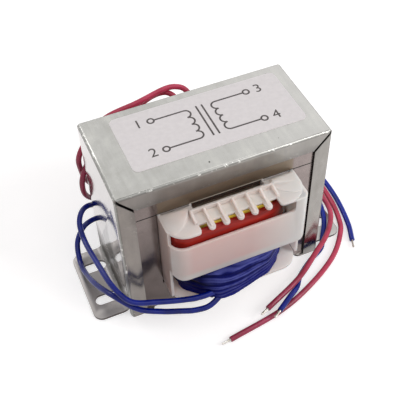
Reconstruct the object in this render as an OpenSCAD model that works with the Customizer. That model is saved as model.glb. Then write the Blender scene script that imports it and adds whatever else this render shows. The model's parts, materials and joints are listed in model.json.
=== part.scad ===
// Channel-mount step-down transformer: EI-86 laminations, split bobbin, four flying leads.
// Axes: +X along the mounting feet, +Y to the primary comb at the rear, +Z up.
// Origin: on the mounting plane, midway between the four foot slots.

/* [Core] */
// Width of an E lamination
core_w = 86; // [76:0.5:104]
// Width of each outer leg of the E
leg_w = 14.33; // [12:0.01:16.5]
// Width of each winding window
window_w = 14.33; // [13:0.01:17.2]
// Height of each winding window
window_h = 43; // [38:0.5:51.6]
// Height of the closing yoke under the window
yoke_h = 14.33; // [12:0.01:17.2]
// Height of the I lamination above the window
bar_h = 14.33; // [12:0.01:17.2]
// Thickness of the stack of laminations
stack_t = 43; // [36:0.5:51.6]
// Radius on the outer corners of a lamination
lam_corner_r = 0.6; // [0.2:0.1:1.5]

/* [Channel frame] */
// Thickness of the folded sheet
sheet_t = 1; // [0.8:0.1:1.3]
// Outside radius of the folds round the core
fold_r = 1.6; // [1.2:0.1:2.2]
// Depth of the flanges beside the core, from the outer face
side_flange = 7; // [6:0.1:8.4]
// Depth of the flanges over the core, from the outer face
top_flange = 8.2; // [6.8:0.1:9.8]
// Width of the open mitre at each top corner
mitre_gap = 1.1; // [0.8:0.1:1.6]

/* [Label] */
// Length of the label on top of the channel
label_l = 71; // [60:0.5:80]
// Width of the label
label_w = 30.5; // [26:0.5:36]
// Radius of the label's corners
label_corner_r = 2.5; // [1:0.5:4]
// Thickness of the label
label_t = 0.15; // [0.1:0.05:0.2]
// Distance of the label's middle from the middle of the top, along X
label_shift_x = 3; // [0:0.5:3.5]
// Distance of the label's middle from the middle of the top, along Y
label_shift_y = 2.75; // [0:0.25:3.25]

/* [Feet] */
// Reach of each foot beyond the channel
foot_reach = 14.5; // [13:0.1:17.4]
// Width of each foot
foot_w = 37; // [31:0.5:39]
// Radius on the free corners of a foot
foot_corner_r = 4; // [3:0.1:5]
// Inside radius of the fold between channel and foot
foot_fold_r = 2.4; // [1.6:0.1:3]
// Width of a mounting slot
slot_w = 5; // [4.2:0.1:6]
// Length of a mounting slot, end to end
slot_l = 10.5; // [9:0.1:11]
// Distance of the slot centres from the outer face of the channel
slot_offset = 6.5; // [6:0.1:7.8]
// Distance between the two slots of a foot
slot_pitch = 18; // [15:0.5:21.6]
// Length of the clinch tab under the core, from the side of the channel
tab_l = 11; // [9:0.1:13.2]
// Width of a clinch tab
tab_w = 5.6; // [4.7:0.1:6.4]
// Width of the relief notch beside a tab
notch_w = 1.2; // [0.8:0.1:1.5]

/* [Bobbin] */
// Wall of the tube round the centre leg
tube_wall = 1; // [0.8:0.1:1.4]
// Thickness of the flanges
flange_t = 1.5; // [1.2:0.1:1.8]
// Reach of the flanges in front of and behind the core
flange_reach = 14.3; // [13:0.1:15]
// Radius of the flange corners in plan
flange_corner_r = 8; // [5:0.5:9.6]
// Height of the secondary chamber
secondary_h = 15; // [12.5:0.5:17.5]

/* [Comb covers] */
// Wall thickness of a cover
cover_wall = 1.1; // [0.9:0.1:1.4]
// Reach of a cover from the face of the core
cover_reach = 14.5; // [13.5:0.1:16]
// Radius of a cover's walls in plan, at the corner that the slot opens
cover_corner_r = 6.5; // [5.4:0.1:7.8]
// Radius of a cover's walls in plan, at the corner post
post_corner_r = 3; // [2.4:0.1:3.6]
// Radius of the comb plate's corners in plan
plate_corner_r = 8.5; // [7:0.1:9.6]
// Radius of the lower corners of a cover's front band
band_corner_r = 4; // [3:0.1:4.8]
// Height of the long slot between comb and band
slot_h = 5.9; // [4.9:0.1:7]
// Distance that the slot runs back round its open corner
slot_wrap = 4.8; // [4:0.1:5.8]
// Width of the post at the closed end of the slot
post_w = 5.8; // [4.8:0.1:6.8]
// Number of notches in the comb
notch_count = 6; // [3:1:6]
// Distance between notches
notch_pitch = 5.8; // [5:0.05:6.4]
// Width of each notch
notch_open = 3.2; // [2.8:0.1:3.8]
// Depth of each notch
notch_depth = 4.2; // [3.5:0.1:5]
// Radius on the front corners of the wings, beside the comb
wing_corner_r = 1.4; // [1:0.1:1.8]
// Width of the half-round ribs on the comb
rib_w = 1; // [0.8:0.1:1.2]
// Radius of the raised pad on each wing
pad_r = 8.6; // [7.2:0.1:9]
// Height of a pad
pad_h = 0.2; // [0.1:0.05:0.3]
// Gap between the comb plate and the core
comb_gap = 2.3; // [1.9:0.1:2.8]

/* [Windings] */
// Build of the primary winding outside its tube
primary_build = 11.1; // [9.3:0.1:11.4]
// Build of the secondary winding outside its tube
secondary_build = 8.3; // [7:0.1:9.5]
// Swell of the secondary where the lead joints are taped in
joint_swell = 8.9; // [7.4:0.1:9.4]
// Thickness of the barrier tape and of the tape round the secondary
tape_t = 0.5; // [0.3:0.05:0.6]
// Thickness of the layers of tape round the primary
primary_tape_t = 1.9; // [1.5:0.1:2.2]
// Radius of the primary winding's corners in plan
primary_corner_r = 16; // [13:0.5:17]
// Radius of the secondary winding's corners in plan
secondary_corner_r = 9; // [7.5:0.5:10]

/* [Leads] */
// Outside diameter of the lead insulation
lead_d = 2.4; // [2:0.1:2.4]
// Diameter of the tinned strands
strand_d = 1.1; // [0.9:0.1:1.4]
// Length of the tinned end of a lead
strand_l = 4; // [3:0.5:6]

/* [Hidden] */
$fn = 48;
eps = 0.01;
clear = 0.3;
lead_clear = 0.05;

// Core, built up from the tabs it stands on.
core_z = sheet_t;
window_z = core_z + yoke_h;
seam_z = window_z + window_h;
core_top = seam_z + bar_h;
core_face = stack_t / 2;
centre_leg_w = core_w - 2 * leg_w - 2 * window_w;
window_out = centre_leg_w / 2 + window_w;

// Channel, wrapped face to face round the core.
frame_x = core_w / 2 + sheet_t;
frame_y = core_face + sheet_t;
frame_z = core_top + sheet_t;
foot_x = frame_x + foot_reach;
slot_x = frame_x + slot_offset;

// Bobbin: tube, then bottom, middle and top flanges.
tube_x = centre_leg_w / 2 + clear;
tube_y = core_face + clear;
flange_x = window_out - clear - cover_wall - 0.1;
flange_y = core_face + flange_reach;
bottom_flange_z = window_z + clear;
secondary_z = bottom_flange_z + flange_t;
middle_flange_z = secondary_z + secondary_h;
primary_z = middle_flange_z + flange_t;
top_flange_z = seam_z - clear - flange_t;

// Covers: they straddle the primary chamber between window and band.
cover_x = window_out - clear;
cover_y = core_face + cover_reach;
cover_z0 = middle_flange_z;
wall_top = seam_z - clear;
comb_z0 = wall_top - cover_wall;
band_z1 = comb_z0 - slot_h;
cheek_z0 = bottom_flange_z + flange_t + clear;

comb_half = (notch_count - 1) / 2 * notch_pitch + notch_open / 2;
comb_gap_half = tube_x + clear;
tooth_w = notch_pitch - notch_open;
tooth_relief = 0.3;
tube_end_z = comb_z0 - 2;
cheek_front = core_face + 9.2;
slot_end_x = cover_x - post_w;
slot_end_r = 1.8;
post_step = cover_wall - 0.4;
rib_root = 0.3;
pad_margin = 0.6;
pad_x = cover_x - 2.4;
pad_y = core_face + 2.5;

// Windings.
primary_x = min(tube_x + tube_wall + primary_build, cover_x - cover_wall - clear) - tape_t - primary_tape_t;
primary_y = tube_y + tube_wall + primary_build - tape_t - primary_tape_t;
secondary_x = min(tube_x + tube_wall + secondary_build, flange_x - clear) - tape_t;
secondary_y = tube_y + tube_wall + secondary_build - tape_t;
tape_margin = 0.6;
primary_top = comb_z0 - 0.5;

// Wads of tape over the lead joints: x, set back from the swell's front, height above the
// bottom flange, radius, length upwards.
joint_wads = [
    [-9, 7.2, 0, 7.2, 5], [-5, 8, 0, 8, 7], [-6, 9, 3, 7, 9], [9, 11.4, 0, 8, 9], [14, 12.5, 0, 6, 14],
    [-17.6, 14, 0, 6, 13]
];

// The leads are laid round these sizes, and move with the parts that they pass.
laid_x = 44;
laid_y = 36;
laid_foot_x = 58.5;
laid_foot_y = 18.5;
laid_window_z = 15.33;
laid_comb_z = 58.03;
x_moves = [[10, 0], [27, frame_x - laid_x], [46, frame_x - laid_x], [57, foot_x - laid_foot_x]];
y_moves = [[36, cover_y - laid_y], [48, foot_w / 2 - laid_foot_y]];
z_moves = [
    [3, 0], [15, window_z - laid_window_z], [26, window_z - laid_window_z], [54, wall_top - laid_comb_z]
];
function laid(route) = [
    for (p = route) [
        p[0] + sign(p[0]) * lookup(abs(p[0]), x_moves),
        p[1] + sign(p[1]) * lookup(abs(p[1]), [[8, 0], [18, 1]]) * lookup(abs(p[0]), y_moves),
        p[2] + lookup(p[2], z_moves)
    ]
];

// Centre-line points of the four leads, from the winding to the tinned end.
red_long_route = laid([
    [8.7, 35.2, 54.6], [8.7, 35.6, 57.6], [7.8, 37, 60.2], [5, 38.7, 61.9], [-1, 39.4, 62.5],
    [-14, 38, 60.6], [-29, 37.4, 57.9], [-39.8, 31.2, 54.2], [-44.4, 28.8, 49], [-44.4, 29.8, 41],
    [-42.4, 32.4, 31], [-36, 37.4, 18.6], [-24, 42.6, 8.2], [-8, 44.2, 2.4], [14, 44, 1.3],
    [37, 44, 1.3], [50.5, 40.4, 1.3], [60.4, 30.5, 1.3], [64, 17, 1.3], [64, 1, 1.3],
    [61.6, -11.5, 1.3], [58, -19.2, 1.3], [48.3, -29.4, 1.3], [33, -38.4, 1.3],
    [14.6, -45.4, 1.3], [-11, -49.6, 1.3]
]);
red_short_route = laid([
    [2.9, 35.2, 53.6], [2.9, 35.8, 56.4], [2, 38, 58.8], [-1.2, 40.6, 59.6], [-7, 42, 57.8],
    [-16, 40.8, 54.2], [-28, 37.4, 50.2], [-38.2, 31, 46.6], [-44.4, 25.9, 41.6],
    [-46, 24.8, 35.6], [-44.8, 26.6, 28], [-40.5, 31, 20], [-31, 36.6, 12], [-18, 40.8, 4.6],
    [-4, 41.2, 1.6], [18, 41.2, 1.3], [37, 41.2, 1.3], [49.1, 38, 1.3], [57.9, 29.1, 1.3],
    [61, 17, 1.4], [61.2, 3, 1.8], [58.4, -9, 3.9], [50.6, -19.4, 4.9], [40, -27.2, 4.4],
    [27.2, -35.8, 4.2], [8.7, -43.9, 4]
]);
blue_short_route = laid([
    [-11, -37.6, 21], [-17.5, -37.2, 19.8], [-25, -35, 18.8], [-35, -31.2, 18.2],
    [-44.4, -28, 19.6], [-49, -20, 21.5], [-51, -6, 21], [-52, 10, 18.4], [-51.4, 19, 20.4],
    [-48.6, 23, 23.2], [-44.4, 25.8, 22.2], [-39.4, 29.2, 16], [-32, 35.4, 6.8],
    [-22.6, 43.2, 1.7], [-8, 46.9, 1.3], [14, 46.8, 1.3], [37, 46.8, 1.3], [51.9, 42.8, 1.3],
    [62.8, 31.9, 1.3], [66.8, 17, 1.3], [66.9, 1, 1.3], [64.2, -15, 1.3], [60.7, -25, 1.3]
]);
blue_long_route = laid([
    [-7, -37, 19.2], [-15, -39.6, 15.6], [-21, -38.4, 13.8], [-27, -35.6, 12.8], [-34, -32, 11.9],
    [-42.4, -28.2, 13.6], [-49.6, -21.5, 17.8], [-54, -9, 12.6], [-55.6, 4, 5.6],
    [-55.6, 13, 3.6], [-54, 20, 7.2], [-50, 23, 12], [-45, 25, 13], [-36, 30, 8],
    [-22, 36.8, 1.8], [-2, 38.4, 1.3], [18, 38.4, 1.3], [37, 38.4, 1.3], [47.7, 35.5, 1.3],
    [55.5, 27.7, 1.3], [58.2, 17, 2.5], [58.4, 5, 2.5], [55.2, -8.6, 2.4], [48.2, -19.8, 2.2],
    [45.2, -23.7, 1.7], [38.4, -27.2, 1.4], [30, -33, 1.3], [26, -37.6, 1.3], [20.4, -42, 3.8],
    [12.9, -46.9, 4.2]
]);

// Outline helpers ---------------------------------------------------------------------------

// Rectangle with round corners, centred on the origin.
module round_rect(w, d, r) {
    square([w - 2 * r, d], center = true);
    square([w, d - 2 * r], center = true);
    for (x = [-1, 1], y = [-1, 1])
        translate([x * (w / 2 - r), y * (d / 2 - r)]) circle(r);
}

// Rectangle with its two free corners round; the straight side lies on y = 0.
module tongue(w, d, r) {
    translate([-w / 2, 0]) square([w, d - r]);
    translate([-w / 2 + r, 0]) square([w - 2 * r, d]);
    for (x = [-1, 1]) translate([x * (w / 2 - r), d - r]) circle(r);
}

// Slot with round ends along X.
module slot_outline(l, w) {
    square([l - w, w], center = true);
    for (x = [-1, 1]) translate([x * (l - w) / 2, 0]) circle(d = w);
}

module at_four_corners() {
    for (x = [0, 1], y = [0, 1]) mirror([x, 0, 0]) mirror([0, y, 0]) children();
}

// Core --------------------------------------------------------------------------------------

module e_laminations() {
    color("#6f675f")
    rotate([90, 0, 0]) linear_extrude(stack_t, center = true) difference() {
        translate([0, core_z]) union() {
            translate([-core_w / 2, lam_corner_r]) square([core_w, seam_z - core_z - lam_corner_r]);
            translate([-core_w / 2 + lam_corner_r, 0]) square([core_w - 2 * lam_corner_r, yoke_h]);
            for (x = [-1, 1]) translate([x * (core_w / 2 - lam_corner_r), lam_corner_r]) circle(lam_corner_r);
        }
        for (x = [-1, 1])
            translate([x * (centre_leg_w + window_w) / 2, window_z + window_h / 2 + 1])
                square([window_w, window_h + 2], center = true);
    }
}

module i_laminations() {
    color("#6f675f")
    translate([0, 0, seam_z + bar_h / 2]) cube([core_w, stack_t, bar_h], center = true);
}

// Channel frame -----------------------------------------------------------------------------

// Block with its vertical and upper edges rounded, as the folds leave them.
module folded_block(x, y, z, r) {
    intersection() {
        linear_extrude(z) round_rect(2 * x, 2 * y, r);
        rotate([90, 0, 0]) linear_extrude(2 * y + 2, center = true)
            translate([0, z / 2 - r]) round_rect(2 * x, z + 2 * r, r);
        rotate([90, 0, 90]) linear_extrude(2 * x + 2, center = true)
            translate([0, z / 2 - r]) round_rect(2 * y, z + 2 * r, r);
    }
}

// Open front of the channel between the side and top flanges.
module channel_opening() {
    translate([-frame_x + side_flange, -1])
        square([2 * (frame_x - side_flange), frame_z - top_flange + 1]);
}

// Slit that separates a side flange from the top flange.
module mitre_slit() {
    dx = side_flange + 2;
    dz = top_flange * dx / side_flange;
    a = atan2(dz, dx);
    translate([frame_x - side_flange, frame_z - top_flange]) rotate(a)
        translate([-2, -mitre_gap / 2]) square([sqrt(dx * dx + dz * dz) + 2, mitre_gap]);
}

module foot() {
    difference() {
        union() {
            translate([frame_x + foot_fold_r, 0, 0]) linear_extrude(sheet_t)
                rotate(-90) tongue(foot_w, foot_reach - foot_fold_r, foot_corner_r);
            translate([frame_x + foot_fold_r, foot_w / 2, sheet_t + foot_fold_r]) rotate([90, 0, 0])
                linear_extrude(foot_w) intersection() {
                    difference() {
                        circle(foot_fold_r + sheet_t);
                        circle(foot_fold_r);
                    }
                    translate([-2 * foot_fold_r - 4, -2 * foot_fold_r - 4])
                        square(2 * foot_fold_r + 4);
                }
        }
        for (y = [-1, 1]) translate([slot_x, y * slot_pitch / 2, -1])
            linear_extrude(sheet_t + 2) slot_outline(slot_l, slot_w);
    }
}

// Tab folded under the core from the end of a side flange.
module clinch_tab() {
    translate([frame_x - tab_l, -frame_y, 0]) linear_extrude(sheet_t) {
        r = tab_w / 2;
        translate([r, r]) circle(r);
        translate([r, 0]) square([tab_l - r - fold_r, tab_w]);
    }
}

module channel_frame() {
    color("#c3c3be") {
        difference() {
            folded_block(frame_x, frame_y, frame_z, fold_r);
            translate([0, 0, (core_top - 1) / 2]) cube([core_w, stack_t, core_top + 1], center = true);
            rotate([90, 0, 0]) linear_extrude(2 * frame_y + 2, center = true) channel_opening();
            for (m = [0, 1]) mirror([m, 0, 0]) {
                for (n = [0, 1]) mirror([0, n, 0]) {
                    translate([0, -core_face + eps, 0]) rotate([90, 0, 0])
                        linear_extrude(sheet_t + 2) mitre_slit();
                    translate([frame_x - sheet_t - 1, -foot_w / 2 - notch_w, -1])
                        cube([sheet_t + 2, notch_w, foot_fold_r + sheet_t + notch_w + 1]);
                }
                translate([frame_x - sheet_t - 1, -foot_w / 2 - eps, -1])
                    cube([sheet_t + 2, foot_w + 2 * eps, sheet_t + foot_fold_r + 1]);
            }
        }
        for (m = [0, 1]) mirror([m, 0, 0]) foot();
        at_four_corners() clinch_tab();
    }
}

module label() {
    color("#e2ddde") translate([label_shift_x, label_shift_y, frame_z])
        linear_extrude(label_t) round_rect(label_l, label_w, label_corner_r);
}

// Bobbin and covers -------------------------------------------------------------------------

// Flange with the square hole of the tube.
module flange_plate(reach_y) {
    linear_extrude(flange_t) difference() {
        round_rect(2 * flange_x, 2 * reach_y, flange_corner_r);
        square([2 * tube_x, 2 * tube_y], center = true);
    }
}

module bobbin() {
    color("#ded8d2") {
        translate([0, 0, bottom_flange_z]) linear_extrude(tube_end_z - bottom_flange_z) difference() {
            square([2 * (tube_x + tube_wall), 2 * (tube_y + tube_wall)], center = true);
            square([2 * tube_x, 2 * tube_y], center = true);
        }
        // The sides of the tube run on up between the legs
        for (x = [-1, 1]) translate([x * (tube_x + tube_wall / 2), 0, (tube_end_z + wall_top) / 2 - eps])
            cube([tube_wall, 2 * tube_y, wall_top - tube_end_z + 2 * eps], center = true);
        translate([0, 0, bottom_flange_z]) flange_plate(flange_y);
        translate([0, 0, middle_flange_z]) flange_plate(cover_y - cover_wall - clear);
        translate([0, 0, top_flange_z]) linear_extrude(flange_t) difference() {
            square([2 * flange_x, 2 * (core_face - clear)], center = true);
            square([2 * tube_x, 2 * tube_y], center = true);
        }
    }
}

// Plan of a cover, drawn in by inset; it runs from the middle of the stack to the front.
// Its front corners have radius open_r on the left and post_r on the right.
module cover_plan(inset, open_r, post_r) {
    mirror([0, 1]) for (end = [[-1, open_r], [1, post_r]]) intersection() {
        tongue(2 * (cover_x - inset), cover_y - inset, end[1] - inset);
        translate([end[0] * (cover_x + 1 - eps), 0]) square([2 * cover_x + 2, 3 * cover_y], center = true);
    }
}

// Wall of a cover in plan.
module wall_plan() {
    difference() {
        cover_plan(0, cover_corner_r, post_corner_r);
        cover_plan(cover_wall, cover_corner_r, post_corner_r);
        translate([-cover_x - 1, -1]) square([2 * cover_x + 2, 2]);
    }
}

// Comb plate in plan: two wings, and the bar that the teeth stand on.
module comb_plan() {
    difference() {
        cover_plan(0, plate_corner_r, post_corner_r);
        translate([-cover_x - 1, -core_face - 2 * clear]) square([2 * cover_x + 2, cover_y]);
        translate([-comb_gap_half, -core_face - comb_gap]) square([2 * comb_gap_half, cover_y]);
        translate([-comb_half, -cover_y - 1]) square([2 * comb_half, notch_depth + 1]);
        for (m = [0, 1]) mirror([m, 0]) translate([comb_half, -cover_y]) difference() {
            translate([-1, -1]) square(wing_corner_r + 1);
            translate([wing_corner_r, wing_corner_r]) circle(wing_corner_r);
        }
    }
}

// Corner to cut off, so that the lower corner of the band comes out round.
module band_corner_cut() {
    translate([cover_x - band_corner_r, 0, cover_z0 + band_corner_r]) rotate([90, 0, 0])
        linear_extrude(cover_y + 1) difference() {
            translate([0, -band_corner_r - 1]) square(band_corner_r + 1);
            circle(band_corner_r);
        }
}

// Long slot over the band: open to the left, and closed by the corner post on the right.
module band_slot() {
    reach = cover_x + 1 + slot_end_x;
    translate([0, slot_wrap - cover_y, band_z1]) rotate([90, 0, 0]) linear_extrude(slot_wrap + 1) {
        translate([-cover_x - 1, 0]) square([reach - slot_end_r, wall_top]);
        translate([-cover_x - 1, slot_end_r]) square([reach, wall_top]);
        translate([slot_end_x - slot_end_r, slot_end_r]) circle(slot_end_r);
    }
}

// Shallow step on top of the corner post, outside the round corner of the wing.
module post_top_step() {
    translate([0, 0, wall_top - post_step]) linear_extrude(post_step + 1) difference() {
        translate([cover_x - plate_corner_r, -cover_y - 1]) square(plate_corner_r + 1);
        cover_plan(0, plate_corner_r, plate_corner_r);
    }
}

// Half-round rib on the comb plate.
module rib(x, y0, y1) {
    translate([x, y0, wall_top]) rotate([90, 0, 0]) linear_extrude(y0 - y1) intersection() {
        circle(d = rib_w);
        translate([-rib_w, -rib_root]) square(2 * rib_w);
    }
}

// One moulded cover, on the front of the coil.
module cover() {
    comb_back = -core_face - comb_gap;
    notch_end = -cover_y + notch_depth;
    difference() {
        union() {
            difference() {
                translate([0, 0, cover_z0]) linear_extrude(wall_top - cover_z0) wall_plan();
                band_slot();
                // Round lower corners of the band, in front of the cheeks
                for (m = [0, 1]) mirror([m, 0, 0]) translate([0, -cheek_front, 0]) band_corner_cut();
            }
            translate([0, 0, comb_z0]) linear_extrude(cover_wall) comb_plan();
        }
        post_top_step();
    }
    // Cheeks below the band, which insulate the secondary from the outer legs
    translate([0, 0, cheek_z0]) linear_extrude(cover_z0 + band_corner_r + 1 - cheek_z0) difference() {
        wall_plan();
        translate([-cover_x - 1, -cover_y - 1]) square([2 * cover_x + 2, cover_y + 1 - cheek_front]);
    }
    for (m = [0, 1]) mirror([m, 0, 0]) {
        translate([0, 0, wall_top - eps]) linear_extrude(pad_h + eps) intersection() {
            translate([pad_x, -pad_y]) circle(pad_r);
            cover_plan(pad_margin, plate_corner_r, plate_corner_r);
            translate([0, -cover_y]) square([cover_x, cover_y - core_face - 2 * clear - pad_margin]);
        }
        rib(comb_half + rib_w / 2 + pad_h, comb_back - rib_root, notch_end + rib_root);
    }
    // Teeth, with round ends
    for (i = [1 : notch_count - 1]) {
        x = (i - notch_count / 2) * notch_pitch;
        translate([x, notch_end, comb_z0]) linear_extrude(cover_wall) mirror([0, 1])
            tongue(tooth_w, notch_depth - tooth_relief, tooth_w / 2 - eps);
        rib(x, comb_back - rib_root, -cover_y + tooth_w / 2);
    }
}

module cover_front() {
    color("#e0d5d2") cover();
}

module cover_rear() {
    color("#e0d5d2") rotate(180) cover();
}

// Windings ----------------------------------------------------------------------------------

// Ring wound on the tube, from outline half-sizes (x0, y0) to (x1, y1).
module wound_ring(x0, y0, r0, x1, y1, r1, z0, z1) {
    translate([0, 0, z0]) linear_extrude(z1 - z0) difference() {
        round_rect(2 * x1, 2 * y1, r1);
        if (r0 > 0) round_rect(2 * x0, 2 * y0, r0);
        else square([2 * x0, 2 * y0], center = true);
    }
}

module primary_winding() {
    color("#b5703c") wound_ring(tube_x + tube_wall, tube_y + tube_wall, 0,
        primary_x, primary_y, primary_corner_r, primary_z, primary_top - tape_margin);
}

module primary_barrier_tape() {
    color("#e8d84a") wound_ring(primary_x, primary_y, primary_corner_r,
        primary_x + tape_t, primary_y + tape_t, primary_corner_r + tape_t, primary_z, primary_top);
}

module primary_outer_tape() {
    color("#a02018") wound_ring(primary_x + tape_t, primary_y + tape_t, primary_corner_r + tape_t,
        primary_x + tape_t + primary_tape_t, primary_y + tape_t + primary_tape_t,
        primary_corner_r + tape_t + primary_tape_t, primary_z, primary_top);
}

module secondary_winding() {
    color("#b5703c") wound_ring(tube_x + tube_wall, tube_y + tube_wall, 0,
        secondary_x, secondary_y, secondary_corner_r, secondary_z, middle_flange_z);
}

// Tape round the secondary, with the lead joints bound in at the front.
module secondary_outer_tape() {
    y0 = secondary_y + tape_t;
    color("#1c2a86") {
        wound_ring(secondary_x, secondary_y, secondary_corner_r,
            secondary_x + tape_t, y0, secondary_corner_r + tape_t, secondary_z, middle_flange_z);
        difference() {
            hull() for (w = joint_wads)
                translate([w[0], w[1] - y0 - joint_swell, secondary_z + w[2]])
                    cylinder(r = w[3], h = w[4], $fn = 32);
            linear_extrude(frame_z)
                round_rect(2 * (secondary_x + tape_t) - eps, 2 * y0 - eps, secondary_corner_r + tape_t);
            lead_hole(blue_short_route);
            lead_hole(blue_long_route);
        }
    }
}

// Leads -------------------------------------------------------------------------------------

function unit(v) = v / norm(v);

// Direction of the route at point i, from its neighbours.
function along(route, i) =
    unit(route[min(i + 1, len(route) - 1)] - route[max(i - 1, 0)]);

// Side vector at point i, carried on from the one before so that the tube doesn't twist.
function side(route, i) =
    let (t = along(route, i),
         s = i == 0 ? (abs(t[2]) > 0.9 ? [1, 0, 0] : [0, 0, 1]) : side(route, i - 1))
    unit(s - (s * t) * t);

// Ring of points round route point i.
function ring(route, i, r, sides) =
    let (t = along(route, i), s = side(route, i), u = cross(t, s))
    [for (k = [0 : sides - 1]) let (a = 360 * (k + 0.5) / sides) route[i] + r * (cos(a) * s + sin(a) * u)];

// Round cord swept along a route.
module cord(route, d, sides = 8) {
    n = len(route);
    points = [for (i = [0 : n - 1]) each ring(route, i, d / 2, sides)];
    faces = concat(
        [[for (k = [sides - 1 : -1 : 0]) k]],
        [[for (k = [0 : sides - 1]) (n - 1) * sides + k]],
        [for (i = [0 : n - 2], k = [0 : sides - 1])
            let (a = i * sides + k, b = i * sides + (k + 1) % sides)
            [a, b, b + sides, a + sides]]
    );
    polyhedron(points, faces);
}

// Children stood up along direction t at point p.
module aim(p, t) {
    translate(p) rotate([0, acos(t[2]), atan2(t[1], t[0])]) children();
}

// Straight hole for the first stretch of a route.
module lead_hole(route) {
    d = route[1] - route[0];
    aim(route[0], unit(d)) translate([0, 0, -eps]) cylinder(d = lead_d + 2 * lead_clear, h = norm(d), $fn = 16);
}

// Tinned strands at the end of a route.
module tinned_end(route) {
    n = len(route);
    aim(route[n - 1], unit(route[n - 1] - route[n - 2])) cylinder(d = strand_d, h = strand_l, $fn = 16);
}

module lead_red_long() {
    color("#b8304a") cord(red_long_route, lead_d);
}

module lead_red_short() {
    color("#b8304a") cord(red_short_route, lead_d);
}

module lead_blue_short() {
    color("#1c2f96") cord(blue_short_route, lead_d);
}

module lead_blue_long() {
    color("#1c2f96") cord(blue_long_route, lead_d);
}

module tip_red_long() {
    color("#c8c8c6") tinned_end(red_long_route);
}

module tip_red_short() {
    color("#c8c8c6") tinned_end(red_short_route);
}

module tip_blue_short() {
    color("#c8c8c6") tinned_end(blue_short_route);
}

module tip_blue_long() {
    color("#c8c8c6") tinned_end(blue_long_route);
}

channel_frame();
label();
e_laminations();
i_laminations();
bobbin();
cover_front();
cover_rear();
primary_winding();
primary_barrier_tape();
primary_outer_tape();
secondary_winding();
secondary_outer_tape();
lead_red_long();
lead_red_short();
lead_blue_short();
lead_blue_long();
tip_red_long();
tip_red_short();
tip_blue_short();
tip_blue_long();
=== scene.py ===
import json
import math

import bmesh
import bpy
import numpy as np
from bpy.props import FloatProperty, FloatVectorProperty, IntProperty, PointerProperty
from mathutils import Matrix, Vector
from mathutils.noise import noise

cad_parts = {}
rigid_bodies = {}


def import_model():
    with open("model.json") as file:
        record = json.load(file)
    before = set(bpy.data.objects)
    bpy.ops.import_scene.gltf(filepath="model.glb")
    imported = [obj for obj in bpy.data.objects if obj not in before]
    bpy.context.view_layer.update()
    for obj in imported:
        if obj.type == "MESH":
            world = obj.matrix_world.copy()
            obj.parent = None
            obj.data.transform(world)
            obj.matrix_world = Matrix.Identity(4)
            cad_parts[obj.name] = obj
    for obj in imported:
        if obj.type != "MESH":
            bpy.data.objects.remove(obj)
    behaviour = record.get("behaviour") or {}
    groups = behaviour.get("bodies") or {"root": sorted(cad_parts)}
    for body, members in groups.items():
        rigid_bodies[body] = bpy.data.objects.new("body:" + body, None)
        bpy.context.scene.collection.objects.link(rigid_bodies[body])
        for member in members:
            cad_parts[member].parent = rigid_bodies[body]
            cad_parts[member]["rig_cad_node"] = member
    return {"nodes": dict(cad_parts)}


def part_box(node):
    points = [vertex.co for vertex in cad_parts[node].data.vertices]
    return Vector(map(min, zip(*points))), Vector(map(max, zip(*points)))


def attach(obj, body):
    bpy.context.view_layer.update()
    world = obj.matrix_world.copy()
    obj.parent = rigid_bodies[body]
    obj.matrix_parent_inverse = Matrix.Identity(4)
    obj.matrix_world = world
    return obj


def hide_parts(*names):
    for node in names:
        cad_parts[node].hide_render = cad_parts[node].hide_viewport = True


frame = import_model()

bl_info = {
    "name": "Channel-mount step-down transformer",
    "version": (1, 0, 0),
    "blender": (4, 5, 0),
    "location": "3D View > Sidebar > Transformer",
    "description": "Builds the finishes, tapes, leads and stage of a laminated-core transformer",
    "category": "Object",
}

bpy.context.view_layer.update()
MM = 0.001
# Places closer than this count as one
HAIR = 0.05 * MM

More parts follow.
